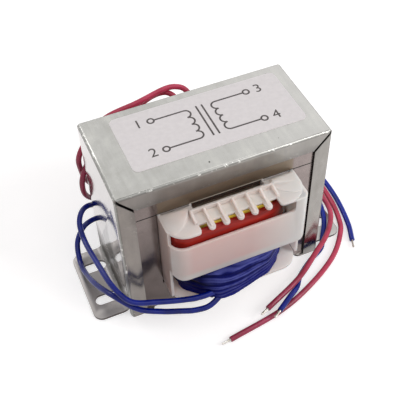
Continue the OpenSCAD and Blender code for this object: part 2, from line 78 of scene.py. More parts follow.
# Centre lines of the four leads in millimetres, from the winding to the tinned end.
LEAD_ROUTES = {
    "red_long": [
        (8.7, 35.2, 54.6), (8.7, 35.6, 57.6), (7.8, 37, 60.2), (5, 38.7, 61.9),
        (-1, 39.4, 62.5), (-14, 38, 60.6), (-29, 37.4, 57.9), (-39.8, 31.2, 54.2),
        (-44.4, 28.8, 49), (-44.4, 29.8, 41), (-42.4, 32.4, 31), (-36, 37.4, 18.6),
        (-24, 42.6, 8.2), (-8, 44.2, 2.4), (14, 44, 1.3), (37, 44, 1.3), (50.5, 40.4, 1.3),
        (60.4, 30.5, 1.3), (64, 17, 1.3), (64, 1, 1.3), (61.6, -11.5, 1.3), (58, -19.2, 1.3),
        (48.3, -29.4, 1.3), (33, -38.4, 1.3), (14.6, -45.4, 1.3), (-11, -49.6, 1.3),
    ],
    "red_short": [
        (2.9, 35.2, 53.6), (2.9, 35.8, 56.4), (2, 38, 58.8), (-1.2, 40.6, 59.6), (-7, 42, 57.8),
        (-16, 40.8, 54.2), (-28, 37.4, 50.2), (-38.2, 31, 46.6), (-44.4, 25.9, 41.6),
        (-46, 24.8, 35.6), (-44.8, 26.6, 28), (-40.5, 31, 20), (-31, 36.6, 12),
        (-18, 40.8, 4.6), (-4, 41.2, 1.6), (18, 41.2, 1.3), (37, 41.2, 1.3), (49.1, 38, 1.3),
        (57.9, 29.1, 1.3), (61, 17, 1.4), (61.2, 3, 1.8), (58.4, -9, 3.9), (50.6, -19.4, 4.9),
        (40, -27.2, 4.4), (27.2, -35.8, 4.2), (8.7, -43.9, 4),
    ],
    "blue_short": [
        (-11, -37.6, 21), (-17.5, -37.2, 19.8), (-25, -35, 18.8), (-35, -31.2, 18.2),
        (-44.4, -28, 19.6), (-49, -20, 21.5), (-51, -6, 21), (-52, 10, 18.4), (-51.4, 19, 20.4),
        (-48.6, 23, 23.2), (-44.4, 25.8, 22.2), (-39.4, 29.2, 16), (-32, 35.4, 6.8),
        (-22.6, 43.2, 1.7), (-8, 46.9, 1.3), (14, 46.8, 1.3), (37, 46.8, 1.3),
        (51.9, 42.8, 1.3), (62.8, 31.9, 1.3), (66.8, 17, 1.3), (66.9, 1, 1.3), (64.2, -15, 1.3),
        (60.7, -25, 1.3),
    ],
    "blue_long": [
        (-7, -37, 19.2), (-15, -39.6, 15.6), (-21, -38.4, 13.8), (-27, -35.6, 12.8),
        (-34, -32, 11.9), (-42.4, -28.2, 13.6), (-49.6, -21.5, 17.8), (-54, -9, 12.6),
        (-55.6, 4, 5.6), (-55.6, 13, 3.6), (-54, 20, 7.2), (-50, 23, 12), (-45, 25, 13),
        (-36, 30, 8), (-22, 36.8, 1.8), (-2, 38.4, 1.3), (18, 38.4, 1.3), (37, 38.4, 1.3),
        (47.7, 35.5, 1.3), (55.5, 27.7, 1.3), (58.2, 17, 2.5), (58.4, 5, 2.5),
        (55.2, -8.6, 2.4), (48.2, -19.8, 2.2), (45.2, -23.7, 1.7), (38.4, -27.2, 1.4),
        (30, -33, 1.3), (26, -37.6, 1.3), (20.4, -42, 3.8), (12.9, -46.9, 4.2),
    ],
}


# Materials ---------------------------------------------------------------------------------


def paint(code):
    """An sRGB hex colour as a linear RGBA tuple."""
    rgb = [int(code[i:i + 2], 16) / 255 for i in (1, 3, 5)]
    return tuple(c / 12.92 if c <= 0.04045 else ((c + 0.055) / 1.055) ** 2.4 for c in rgb) + (1.0,)


def add_node(tree, kind, inputs=None, stops=(), **settings):
    """Adds a node, sets its properties and colour stops, and sets or links its inputs."""
    made = tree.nodes.new(kind)
    for name, value in settings.items():
        setattr(made, name, value)
    for i, (place, colour) in enumerate(stops):
        elements = made.color_ramp.elements
        stop = elements[i] if i < len(elements) else elements.new(place)
        stop.position, stop.color = place, colour
    for key, value in (inputs or {}).items():
        if isinstance(value, bpy.types.NodeSocket):
            tree.links.new(value, made.inputs[key])
        else:
            made.inputs[key].default_value = value
    return made


def new_material(name):
    """A material with an empty node tree, and the tree."""
    material = bpy.data.materials.new(name)
    material.use_nodes = True
    material.node_tree.nodes.clear()
    return material, material.node_tree


def surfaced(material, inputs):
    """The material with its Principled shader, which gets these inputs."""
    tree = material.node_tree
    shader = add_node(tree, "ShaderNodeBsdfPrincipled", inputs)
    add_node(tree, "ShaderNodeOutputMaterial", {"Surface": shader.outputs["BSDF"]})
    return material


def lumps(tree, size, detail, scale=(1, 1, 1), turn=(0, 0, 0), **more):
    """Soft lumps of this size in metres, on the piece's own coordinates stretched and turned.

    More names other inputs of the noise."""
    place = add_node(tree, "ShaderNodeTexCoord").outputs["Object"]
    place = add_node(
        tree, "ShaderNodeMapping", {"Vector": place, "Scale": scale, "Rotation": turn}
    ).outputs["Vector"]
    return add_node(
        tree, "ShaderNodeTexNoise", {"Vector": place, "Scale": 1 / size, "Detail": detail, **more}
    ).outputs["Fac"]


def own_axes(tree, output="Object"):
    """X, Y and Z of the piece's own coordinates, or of its normal."""
    whole = add_node(tree, "ShaderNodeTexCoord").outputs[output]
    return add_node(tree, "ShaderNodeSeparateXYZ", {"Vector": whole}).outputs


def unsigned(tree, value):
    """How far a value is from nought, so that one mask serves both sides of the object."""
    return add_node(tree, "ShaderNodeMath", {0: value}, operation="ABSOLUTE").outputs[0]


def above(tree, value, edge, soft, least=0.0, most=1.0):
    """A mask: most where value is over the edge, and sloping to least over soft below it."""
    return add_node(
        tree, "ShaderNodeMapRange",
        {"Value": value, "From Min": edge - soft, "From Max": edge, "To Min": least,
         "To Max": most},
    ).outputs["Result"]


def below(tree, value, edge, soft, least=0.0):
    """A mask: one where value is under the edge, and sloping to least over soft above it."""
    return add_node(
        tree, "ShaderNodeMapRange",
        {"Value": value, "From Min": edge, "From Max": edge + soft, "To Min": 1.0, "To Max": least},
    ).outputs["Result"]


def all_of(tree, made, *masks):
    """Where every mask holds: their product. A plain number among them is a strength."""
    for mask in masks:
        made = add_node(tree, "ShaderNodeMath", {0: made, 1: mask}, operation="MULTIPLY").outputs[0]
    return made


def any_of(tree, made, *masks):
    """Where at least one mask holds: the largest of them."""
    for mask in masks:
        made = add_node(tree, "ShaderNodeMath", {0: made, 1: mask}, operation="MAXIMUM").outputs[0]
    return made


def ridges(tree, value, pitch):
    """A wave from minus one to one along value, one for each pitch."""
    turn = all_of(tree, value, 2 * math.pi / pitch)
    return add_node(tree, "ShaderNodeMath", {0: turn}, operation="SINE").outputs[0]


def coated(tree, colour, *coats):
    """The colour under coats, each with its colour, its mask, and how it blends if not by MIX."""
    for coat, mask, *blend in coats:
        # A colour Mix node has its factor on input 0, its colours on 6 and 7, and gives output 2
        colour = add_node(
            tree, "ShaderNodeMix", {0: mask, 6: colour, 7: coat}, data_type="RGBA",
            blend_type=blend[0] if blend else "MIX",
        ).outputs[2]
    return colour


def shifted(tree, value, *shifts):
    """The value with an amount added where each mask holds."""
    for mask, amount in shifts:
        value = add_node(
            tree, "ShaderNodeMath", {0: mask, 1: amount, 2: value}, operation="MULTIPLY_ADD"
        ).outputs[0]
    return value


def galvanised_steel(finish):
    # Electro-galvanised sheet: satin zinc that mirrors what is near it, with faint 8 mm clouds,
    # 2.4 mm streaks slanting across them and a few dark flecks. The flanges near the top are
    # rougher, from the press. Painted shade darkens the flanges, most on the left, and the folds,
    # where it dims their highlight; the folds carry pale specks of worn zinc that are also painted
    # sparkle highlights. The walls are smooth, painted paler as painted light, and darken towards
    # the floor as painted shade; the top is painted paler on the right as painted light. The feet
    # are painted a darker grey as painted shade, and their cut edges darker still, painted shade
    # over the darker uncoated steel of the cut. The sheared edges and the faces of the mitre slits
    # are painted near black, as painted shadow in the gaps beside the core.
    material, tree = new_material("galvanised_steel")
    clouds = lumps(tree, 8.333 * MM, 5, Roughness=0.62)
    streaks = lumps(tree, 2.381 * MM, 3, (1, 0.12, 0.3), (0, 0, math.radians(24)))
    specks = lumps(tree, 1.4286 * MM, 2, Roughness=0.7)
    place = add_node(tree, "ShaderNodeTexCoord").outputs["Object"]
    flecks = add_node(
        tree, "ShaderNodeTexVoronoi",
        {"Vector": place, "Scale": 1 / (7.692 * MM), "Randomness": 1.0},
    ).outputs["Distance"]
    both = add_node(
        tree, "ShaderNodeMix", {"Factor": 0.45, "A": clouds, "B": streaks}
    ).outputs["Result"]
    zinc = add_node(
        tree, "ShaderNodeValToRGB", {"Fac": both},
        [(0.32, paint("#B3B2AD")), (0.5, tuple(finish.zinc_colour) + (1.0,)),
         (0.7, paint("#CBCAC4"))],
    ).outputs["Color"]

    at, facing = own_axes(tree), own_axes(tree, "Normal")
    x, y, z = unsigned(tree, at["X"]), unsigned(tree, at["Y"]), at["Z"]
    facing_x, facing_y = unsigned(tree, facing["X"]), unsigned(tree, facing["Y"])
    flattest = any_of(tree, facing_x, facing_y, unsigned(tree, facing["Z"]))
    fold = below(tree, flattest, 0.93, 0.05)
    rubbed_sparkle = all_of(tree, fold, above(tree, specks, 0.66, 0.06))
    wall = above(tree, facing_x, 0.97, 0.02)
    low_wall_shade = all_of(tree, wall, below(tree, z, 8 * MM, 12 * MM))
    flange = above(tree, facing_y, 0.97, 0.22)
    flange_shade = all_of(tree, below(tree, at["X"], -44 * MM, 64 * MM, 0.55), flange)
    top_flange = all_of(tree, flange, above(tree, z, 60 * MM, 3 * MM))
    top_right_light = all_of(
        tree, above(tree, at["X"], 44 * MM, 64 * MM, most=0.5), above(tree, facing["Z"], 0.9, 0.05)
    )
    foot = all_of(tree, above(tree, x, 45 * MM, 0.5 * MM), below(tree, z, 3 * MM, 0.5 * MM))
    cut_foot_shade = all_of(tree, foot, below(tree, facing["Z"], 0.5, 0.1))
    fleck = all_of(tree, below(tree, flecks, 0.035, 0.03), above(tree, clouds, 0.53, 0.02))
    sheared = all_of(tree, above(tree, facing_x, 0.5, 0.1), below(tree, x, 37.6 * MM, 0.1 * MM))
    mitre = all_of(
        tree, below(tree, facing_y, 0.4, 0.1), above(tree, facing["Z"], 0.3, 0.05),
        below(tree, facing["Z"], 0.9, 0.05), below(tree, x, 42.6 * MM, 0.1 * MM),
        below(tree, y, 22.2 * MM, 0.1 * MM),
    )
    colour = coated(
        tree, zinc,
        # Painted shade: the flanges darker, most on the left
        (paint("#B4ADAB"), flange_shade, "MULTIPLY"),
        # Painted shade on the folds, dimming their highlight
        (paint("#C9C9C9"), fold, "MULTIPLY"),
        # Pale specks on the folds: worn zinc and painted sparkle highlights
        (paint("#D4D3CE"), rubbed_sparkle),
        # Painted shade: the feet a darker grey
        (paint("#928E8C"), foot),
        # Painted light: the walls paler
        (paint("#E2DCDC"), all_of(tree, wall, 0.5)),
        # Painted shade on the walls towards the floor
        (paint("#6C6866"), low_wall_shade, "MULTIPLY"),
        # Painted light on the right of the top
        (paint("#DCDAD7"), top_right_light),
        # Painted shade on the feet's cut edges and slot walls, over the darker uncoated steel of
        # the cut
        (paint("#4A4340"), cut_foot_shade),
        # Dark flecks of dirt, and painted shadow on the sheared edges and the faces of the mitre
        # slits
        (paint("#16100E"), any_of(tree, fleck, sheared, mitre)),
    )
    rough = shifted(
        tree, above(tree, both, 0.7, 0.4, 0.17, 0.26),
        (wall, -0.11), (any_of(tree, fold, foot), 0.2), (low_wall_shade, 0.25), (top_flange, 0.2),
    )
    # The sheet's own slight waves, about 22 mm long
    waves = lumps(tree, 22.22 * MM, 1)
    wavy = add_node(
        tree, "ShaderNodeBump", {"Height": waves, "Strength": 0.1, "Distance": 1.2 * MM}
    ).outputs["Normal"]
    grain = add_node(
        tree, "ShaderNodeBump",
        {"Height": both, "Strength": 0.1, "Distance": 0.06 * MM, "Normal": wavy},
    ).outputs["Normal"]
    return surfaced(
        material, {"Base Color": colour, "Metallic": 1.0, "Roughness": rough, "Normal": grain}
    )


def silicon_steel():
    # Silicon steel laminations, varnished: grey-brown, half mirror, in 10 mm blotches. On the cut
    # edges the lines of the 0.5 mm plates show, drawn at every second plate so that they can be
    # seen. The face is painted darker low on the left, as painted shade. Over the winding it is
    # brown and rougher, and in the gap behind the comb it is painted darker brown as painted shade.
    # It is black in the seam, a dark joint, and painted black as shadow under the channel and
    # beside its flanges. A pale line along the edge of the seam over the comb is a painted
    # highlight.
    material, tree = new_material("varnished_silicon_steel")
    blotch = lumps(tree, 10.526 * MM, 5, Roughness=0.6, Distortion=0.6)
    face = add_node(
        tree, "ShaderNodeValToRGB", {"Fac": blotch},
        [(0.3, paint("#8A807D")), (0.5, paint("#978C89")), (0.72, paint("#A39895"))],
    ).outputs["Color"]

    at, facing = own_axes(tree), own_axes(tree, "Normal")
    x, y, z = unsigned(tree, at["X"]), unsigned(tree, at["Y"]), at["Z"]
    cut_edge = below(tree, unsigned(tree, facing["Y"]), 0.2, 0.4)
    plates = all_of(tree, ridges(tree, at["Y"], 1 * MM), cut_edge)
    lines = add_node(
        tree, "ShaderNodeValToRGB", {"Fac": shifted(tree, 0.5, (plates, 0.5))},
        [(0.0, paint("#8C8C8C")), (0.5, paint("#FFFFFF"))],
    ).outputs["Color"]
    low_left_shade = all_of(
        tree, below(tree, at["X"], -36 * MM, 66 * MM), below(tree, z, 20 * MM, 34 * MM, 0.55)
    )
    face_only = above(tree, y, 21.4 * MM, 0.05 * MM)
    brown_band = all_of(
        tree, face_only, below(tree, x, 27.6 * MM, 1.2 * MM), above(tree, z, 58.4 * MM, 0.1 * MM)
    )
    seam = all_of(tree, above(tree, z, 58.1 * MM, 0.1 * MM), below(tree, z, 58.5 * MM, 0.1 * MM))
    seam_and_shadow = all_of(
        tree, face_only, any_of(
            tree, seam, above(tree, x, 37 * MM, 0.2 * MM), above(tree, z, 65.3 * MM, 0.1 * MM)
        )
    )
    seam_highlight = all_of(
        tree, face_only, above(tree, z, 58.3 * MM, 0.1 * MM), below(tree, z, 58.75 * MM, 0.1 * MM),
        below(tree, x, 15.2 * MM, 0.3 * MM),
    )
    comb_gap_shade = all_of(
        tree, face_only, below(tree, x, 16 * MM, 0.2 * MM), above(tree, z, 40 * MM, 0.4 * MM),
        below(tree, z, 57 * MM, 0.4 * MM),
    )
    colour = coated(
        tree, face,
        (lines, 1.0, "MULTIPLY"),
        # Painted shade, low on the left
        (paint("#A49E9C"), low_left_shade, "MULTIPLY"),
        # Brown on the face over the winding
        (paint("#877A6B"), brown_band),
        # Painted shade in the gap behind the comb
        (paint("#8C7C6E"), comb_gap_shade),
        # Black in the seam, a dark joint, and painted shadow under the channel and beside its
        # flanges
        (paint("#120D0B"), seam_and_shadow),
        # Painted highlight along the edge of the seam over the comb
        (paint("#C9C2B4"), seam_highlight),
    )
    bump = add_node(
        tree, "ShaderNodeBump", {"Height": plates, "Strength": 0.5, "Distance": 0.1 * MM}
    ).outputs["Normal"]
    return surfaced(material, {
        "Base Color": colour, "Metallic": shifted(tree, 0.85, (seam_highlight, -0.7)),
        "Roughness": shifted(tree, above(tree, blotch, 0.7, 0.4, 0.16, 0.26), (brown_band, 0.16)),
        "Normal": bump,
    })


def moulded_nylon():
    # Natural nylon 66, injection moulded in thin walls: milky and translucent, satin, with faint
    # 17 mm flow clouds. The band is painted pink for the red tape's light showing through it, and
    # the thin comb is painted warm for the yellow tape and copper showing through, both painted
    # light. The right end is painted paler as painted light, and the side walls are painted darker
    # as painted shade.
    material, tree = new_material("natural_nylon")
    flow = lumps(tree, 16.667 * MM, 3, Distortion=0.8)
    resin = add_node(
        tree, "ShaderNodeValToRGB", {"Fac": flow},
        [(0.3, paint("#DFCEC8")), (0.5, paint("#E4D4CE")), (0.72, paint("#EADCD7"))],
    ).outputs["Color"]

    at, facing = own_axes(tree), own_axes(tree, "Normal")
    x, y, z = unsigned(tree, at["X"]), unsigned(tree, at["Y"]), at["Z"]
    outside = above(tree, y, 24 * MM, 1 * MM)
    band = all_of(
        tree, outside, below(tree, x, 20 * MM, 8 * MM), above(tree, z, 36 * MM, 2 * MM),
        below(tree, z, 50 * MM, 2 * MM),
    )
    comb = all_of(
        tree, outside, below(tree, x, 13.5 * MM, 1.5 * MM), above(tree, z, 56 * MM, 0.1 * MM),
        below(tree, z, 58.1 * MM, 0.1 * MM), below(tree, y, 31.5 * MM, 1 * MM),
    )
    right_end_light = above(tree, at["X"], 26 * MM, 22 * MM, most=0.9)
    side = all_of(
        tree, above(tree, unsigned(tree, facing["X"]), 0.8, 0.4), above(tree, x, 28 * MM, 0.3 * MM)
    )
    colour = coated(
        tree, resin,
        # Painted light: pink in the band and warm in the comb for the tapes showing through, and
        # paler at the right end
        (paint("#E6BDB8"), band), (paint("#F6DED2"), comb), (paint("#FFEEE7"), right_end_light),
        # Painted shade on the side walls
        (paint("#DACECB"), side, "MULTIPLY"),
    )
    skin = lumps(tree, 0.7143 * MM, 2)
    bump = add_node(
        tree, "ShaderNodeBump", {"Height": skin, "Strength": 0.12, "Distance": 0.05 * MM}
    ).outputs["Normal"]
    return surfaced(material, {
        "Base Color": colour, "Roughness": 0.38, "IOR": 1.53, "Specular IOR Level": 0.35,
        "Subsurface Weight": 0.95, "Subsurface Radius": (1.0, 0.86, 0.8),
        "Subsurface Scale": 4 * MM, "Normal": bump,
    })


def polyester_tape(name, light, main, dark, roughness):
    # Polyester film tape: glossy, with soft creases along the winding, about 2.4 mm apart. Its
    # colour is painted lighter on the raised crests and darker in the creases, as painted light and
    # shade.
    material, tree = new_material(name)
    crease = lumps(tree, 2.381 * MM, 3, (0.12, 0.12, 1), Distortion=0.5)
    # Painted light on the crests of the creases and painted shade in their hollows
    film = add_node(
        tree, "ShaderNodeValToRGB", {"Fac": crease},
        [(0.3, paint(dark)), (0.5, paint(main)), (0.74, paint(light))],
    ).outputs["Color"]
    bump = add_node(
        tree, "ShaderNodeBump", {"Height": crease, "Strength": 0.35, "Distance": 0.3 * MM}
    ).outputs["Normal"]
    return surfaced(material, {
        "Base Color": film, "Roughness": roughness, "IOR": 1.6, "Specular IOR Level": 0.14,
        "Normal": bump,
    })


def folded_tape():
    # Blue polyester tape pulled tight over a lump: glossy, painted pale on the crests as painted
    # light, and near black in the creases as painted shade. It is painted a deep blue near the
    # floor and dark at its left end, under the cover, as painted shade.
    material, tree = new_material("blue_tape")
    fold = add_node(tree, "ShaderNodeAttribute", attribute_name="fold").outputs["Fac"]
    haze = lumps(tree, 4.545 * MM, 2)
    level = add_node(
        tree, "ShaderNodeMix", {"Factor": 0.25, "A": fold, "B": haze}
    ).outputs["Result"]
    # Painted light on the crests and painted shade in the creases
    film = add_node(
        tree, "ShaderNodeValToRGB", {"Fac": level},
        [(0.34, paint("#040646")), (0.58, paint("#0E145F")), (0.82, paint("#50559E"))],
    ).outputs["Color"]
    at = own_axes(tree)
    colour = coated(
        tree, film,
        # Painted shade at the left end, under the cover
        (paint("#20247A"), below(tree, at["X"], -17 * MM, 6 * MM), "MULTIPLY"),
        # Painted shade near the floor
        (paint("#081078"), all_of(tree, below(tree, at["Z"], 19 * MM, 6 * MM), 0.65)),
    )
    return surfaced(
        material, {"Base Color": colour, "Roughness": 0.22, "IOR": 1.35, "Specular IOR Level": 0.09}
    )


def soft_pvc(name, main, shadow):
    # Extruded PVC insulation: even colour, satin, with slight 6 mm waves from the extruder. It is
    # painted a shade deeper low down and to the left, as painted shade.
    material, tree = new_material(name)
    tone = lumps(tree, 6.25 * MM, 3)
    even = add_node(
        tree, "ShaderNodeValToRGB", {"Fac": tone}, [(0.3, shadow), (0.7, main)]
    ).outputs["Color"]
    at = own_axes(tree)
    # Painted shade low down and to the left
    pvc_shade = all_of(
        tree, below(tree, at["X"], 22 * MM, 20 * MM), below(tree, at["Z"], 45 * MM, 10 * MM)
    )
    bump = add_node(
        tree, "ShaderNodeBump", {"Height": tone, "Strength": 0.2, "Distance": 0.2 * MM}
    ).outputs["Normal"]
    return surfaced(material, {
        "Base Color": coated(tree, even, (paint("#D2D9E4"), pvc_shade, "MULTIPLY")),
        "Roughness": 0.16, "IOR": 1.53, "Specular IOR Level": 0.27, "Normal": bump,
    })


def tinned_strands():
    # Tinned copper strands: bright tin, dulled by flux in patches of about 1 mm.
    material, tree = new_material("tinned_copper")
    tin = add_node(
        tree, "ShaderNodeValToRGB", {"Fac": lumps(tree, 1.111 * MM, 3)},
        [(0.35, paint("#A39B90")), (0.65, paint("#DAD8D3"))],
    ).outputs["Color"]
    return surfaced(material, {"Base Color": tin, "Metallic": 1.0, "Roughness": 0.28})


def enamelled_wire():
    # Enamelled copper wire in layers: amber-brown, glossy, one line for each turn of 0.8 mm wire,
    # painted dark between the turns as painted shade.
    material, tree = new_material("enamelled_copper")
    turns = above(tree, ridges(tree, own_axes(tree)["Z"], 0.8 * MM), 1.0, 2.0)
    # Painted shade between the turns
    enamel = add_node(
        tree, "ShaderNodeValToRGB", {"Fac": turns},
        [(0.0, paint("#5A2A10")), (0.6, paint("#B5642E"))],
    ).outputs["Color"]
    bump = add_node(
        tree, "ShaderNodeBump", {"Height": turns, "Strength": 0.7, "Distance": 0.3 * MM}
    ).outputs["Normal"]
    return surfaced(
        material, {"Base Color": enamel, "Metallic": 0.8, "Roughness": 0.3, "Normal": bump}
    )


def label_film():
    # Matt white polyester label film, slightly warm, with the faint 2 mm clouds of its coating.
    material, tree = new_material("label_film")
    film = add_node(
        tree, "ShaderNodeValToRGB", {"Fac": lumps(tree, 2 * MM, 3)},
        [(0.3, paint("#E3DEDF")), (0.7, paint("#EAE5E6"))],
    ).outputs["Color"]
    return surfaced(material, {"Base Color": film, "Roughness": 0.5})


def printed_ink():
    # Thermal transfer print: matt charcoal, a little uneven where the ribbon was dry.
    material, tree = new_material("thermal_print")
    ink = add_node(
        tree, "ShaderNodeValToRGB", {"Fac": lumps(tree, 0.6667 * MM, 2)},
        [(0.3, paint("#3A3434")), (0.75, paint("#5C5655"))],
    ).outputs["Color"]
    return surfaced(material, {"Base Color": ink, "Roughness": 0.6})


def floor_finish():
    # Seamless white studio floor: it keeps shadows, and turns plain white away from the object,
    # from the distance of 0.3 m to 1.1 m.
    material, tree = new_material("studio_floor")
    white = add_node(
        tree, "ShaderNodeValToRGB", {"Fac": lumps(tree, 16.667 * MM, 2)},
        [(0.3, paint("#D6D4D4")), (0.7, paint("#DAD8D8"))],
    ).outputs["Color"]
    place = add_node(tree, "ShaderNodeTexCoord").outputs["Object"]
    distance = add_node(
        tree, "ShaderNodeVectorMath", {0: place}, operation="LENGTH"
    ).outputs["Value"]
    ray = add_node(tree, "ShaderNodeLightPath").outputs
    seen = any_of(tree, ray["Is Camera Ray"], ray["Is Glossy Ray"])
    return surfaced(material, {
        "Base Color": white, "Roughness": 0.7, "Emission Color": (1.0, 1.0, 1.0, 1.0),
        "Emission Strength": all_of(tree, seen, above(tree, distance, 1.1, 0.8, 0.55)),
    })


# Shaping helpers ---------------------------------------------------------------------------


def only(piece):
    """Selects this piece alone and makes it active."""
    bpy.ops.object.select_all(action="DESELECT")
    piece.hide_viewport = False
    piece.select_set(True)
    bpy.context.view_layer.objects.active = piece


def cover_with(piece, material):
    """Gives a piece one material."""
    piece.data.materials.clear()
    piece.data.materials.append(material)


def refinish(node, material):
    """Puts a material on a CAD node's own slots."""
    for slot in frame["nodes"][node].material_slots:
        slot.material = material


def worked_copy(node, name):
    """A copy of a CAD node to work on: merged, with flat faces made whole."""
    only(frame["nodes"][node])
    bpy.ops.object.duplicate()
    piece = bpy.context.view_layer.objects.active
    piece.name = name
    piece.data.name = name
    del piece["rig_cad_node"]
    bpy.ops.object.mode_set(mode="EDIT")
    bpy.ops.mesh.select_all(action="SELECT")
    bpy.ops.mesh.customdata_custom_splitnormals_clear()
    bpy.ops.mesh.remove_doubles(threshold=1e-6)
    bpy.ops.mesh.dissolve_limited(angle_limit=math.radians(0.5))
    bpy.ops.object.mode_set(mode="OBJECT")
    return piece


def soften(piece, width, segments=2, angle=32):
    """Rounds the sharp edges and shades the rest smooth."""
    only(piece)
    bevel = piece.modifiers.new("edges", "BEVEL")
    bevel.width = width
    bevel.segments = segments
    bevel.limit_method = "ANGLE"
    bevel.angle_limit = math.radians(angle)
    bevel.use_clamp_overlap = True
    bpy.ops.object.modifier_apply(modifier="edges")
    bpy.ops.object.shade_smooth_by_angle(angle=math.radians(angle))


def join_all(pieces, name):
    """Joins pieces into one of this name, with its place in its mesh."""
    only(pieces[0])
    for piece in pieces[1:]:
        piece.select_set(True)
    bpy.ops.object.join()
    bpy.ops.object.transform_apply(location=True, rotation=True, scale=True)
    whole = bpy.context.object
    whole.name = name
    return whole


def smooth_route(points, steps=6):
    """A smooth line through the points, in metres."""
    p = np.array(points, float) * MM
    p = np.vstack([2 * p[0] - p[1], p, 2 * p[-1] - p[-2]])
    line = []
    for i in range(1, len(p) - 2):
        a, b, c, d = p[i - 1:i + 3]
        for k in range(steps):
            t = k / steps
            line.append(0.5 * (
                2 * b + (c - a) * t + (2 * a - 5 * b + 4 * c - d) * t ** 2
                + (3 * b - a - 3 * c + d) * t ** 3
            ))
    line.append(p[-2])
    return np.array(line)


def tube_along(name, line, radius, sizes, sides=14):
    """A closed round tube along a line, as a mesh; sizes scale the radius at each point."""
    mesh = bpy.data.meshes.new(name)
    piece = bpy.data.objects.new(name, mesh)
    bpy.context.scene.collection.objects.link(piece)
    shape = bmesh.new()
    line = [Vector(p) for p in line]
    count = len(line)
    along = [
        (line[min(i + 1, count - 1)] - line[max(i - 1, 0)]).normalized() for i in range(count)
    ]
    side = Vector((0, 0, 1)) if abs(along[0].z) < 0.9 else Vector((1, 0, 0))
    loops = []
    for p, t, size in zip(line, along, sizes):
        side = (side - t * side.dot(t)).normalized()
        up = t.cross(side)
        loops.append([
            shape.verts.new(p + (side * math.cos(a) + up * math.sin(a)) * radius * size)
            for a in (2 * math.pi * k / sides for k in range(sides))
        ])
    for one, two in zip(loops, loops[1:]):
        for k in range(sides):
            shape.faces.new((one[k], one[(k + 1) % sides], two[(k + 1) % sides], two[k]))
    shape.faces.new(loops[0][::-1])
    shape.faces.new(loops[-1])
    bmesh.ops.recalc_face_normals(shape, faces=shape.faces)
    shape.to_mesh(mesh)
    shape.free()
    only(piece)
    bpy.ops.object.shade_smooth_by_angle(angle=math.radians(50))
    return piece


# Settings ----------------------------------------------------------------------------------


class TransformerFinish(bpy.types.PropertyGroup):
    zinc_colour: FloatVectorProperty(
        name="Zinc colour", description="Colour of the galvanised channel", subtype="COLOR",
        default=paint("#BDBCB8")[:3], min=0, max=1,
    )
    red_lead: FloatVectorProperty(
        name="Red lead", description="Colour of the primary leads", subtype="COLOR",
        default=paint("#CE4565")[:3], min=0, max=1,
    )
    blue_lead: FloatVectorProperty(
        name="Blue lead", description="Colour of the secondary leads", subtype="COLOR",
        default=paint("#0426A6")[:3], min=0, max=1,
    )


class TransformerLeads(bpy.types.PropertyGroup):
    lead_width: FloatProperty(
        name="Lead diameter", description="Outside diameter of the insulation",
        default=2.4 * MM, unit="LENGTH",
    )
    strand_width: FloatProperty(
        name="Strand diameter", description="Diameter of one tinned strand", default=0.36 * MM,
        unit="LENGTH",
    )
    strand_reach: FloatProperty(
        name="Bare length", description="Length of the tinned end", default=4 * MM, unit="LENGTH"
    )
    strands: IntProperty(
        name="Strands", description="Strands laid round the middle one", default=6, min=3, max=12
    )


class TransformerWrap(bpy.types.PropertyGroup):
    grain: FloatProperty(
        name="Mesh grain", description="Size of the faces of the wrap", default=0.45 * MM,
        unit="LENGTH",
    )
    backing: FloatProperty(
        name="Backing", description="Thickness lent to the tape while its faces are made even",
        default=2 * MM, unit="LENGTH",
    )
    corner: FloatProperty(
        name="Corner radius", description="Radius of the winding's corners", default=9 * MM,
        unit="LENGTH",
    )
    fold_pitch: FloatProperty(
        name="Fold pitch", description="Height from one fold to the next", default=2.6 * MM,
        unit="LENGTH",
    )
    fold_depth: FloatProperty(
        name="Fold depth", description="Depth of the creases between the folds", default=0.6 * MM,
        unit="LENGTH",
    )


class TransformerLabel(bpy.types.PropertyGroup):
    line_width: FloatProperty(
        name="Line width", description="Width of a printed line", default=0.7 * MM, unit="LENGTH"
    )
    figure_height: FloatProperty(
        name="Figure height", description="Type size of the terminal numbers", default=6.6 * MM,
        unit="LENGTH",
    )
    ink: FloatProperty(
        name="Ink", description="Thickness of the print", default=0.03 * MM, unit="LENGTH"
    )


class TransformerStage(bpy.types.PropertyGroup):
    distance: FloatProperty(
        name="Camera distance", description="From the camera to its target", default=0.3167,
        unit="LENGTH",
    )
    azimuth: FloatProperty(
        name="Azimuth", description="Camera angle round the object",
        default=math.radians(-21.58), subtype="ANGLE",
    )
    elevation: FloatProperty(
        name="Elevation", description="Camera angle above the floor",
        default=math.radians(48.43), subtype="ANGLE",
    )
    roll: FloatProperty(
        name="Roll", description="Tilt of the camera about its own line",
        default=math.radians(-2.2), subtype="ANGLE",
    )
    lens: FloatProperty(
        name="Lens", description="Focal length in millimetres", default=69.32, min=10
    )
    floor_size: FloatProperty(
        name="Floor", description="Width of the floor", default=3.0, unit="LENGTH"
    )


# Operators ---------------------------------------------------------------------------------


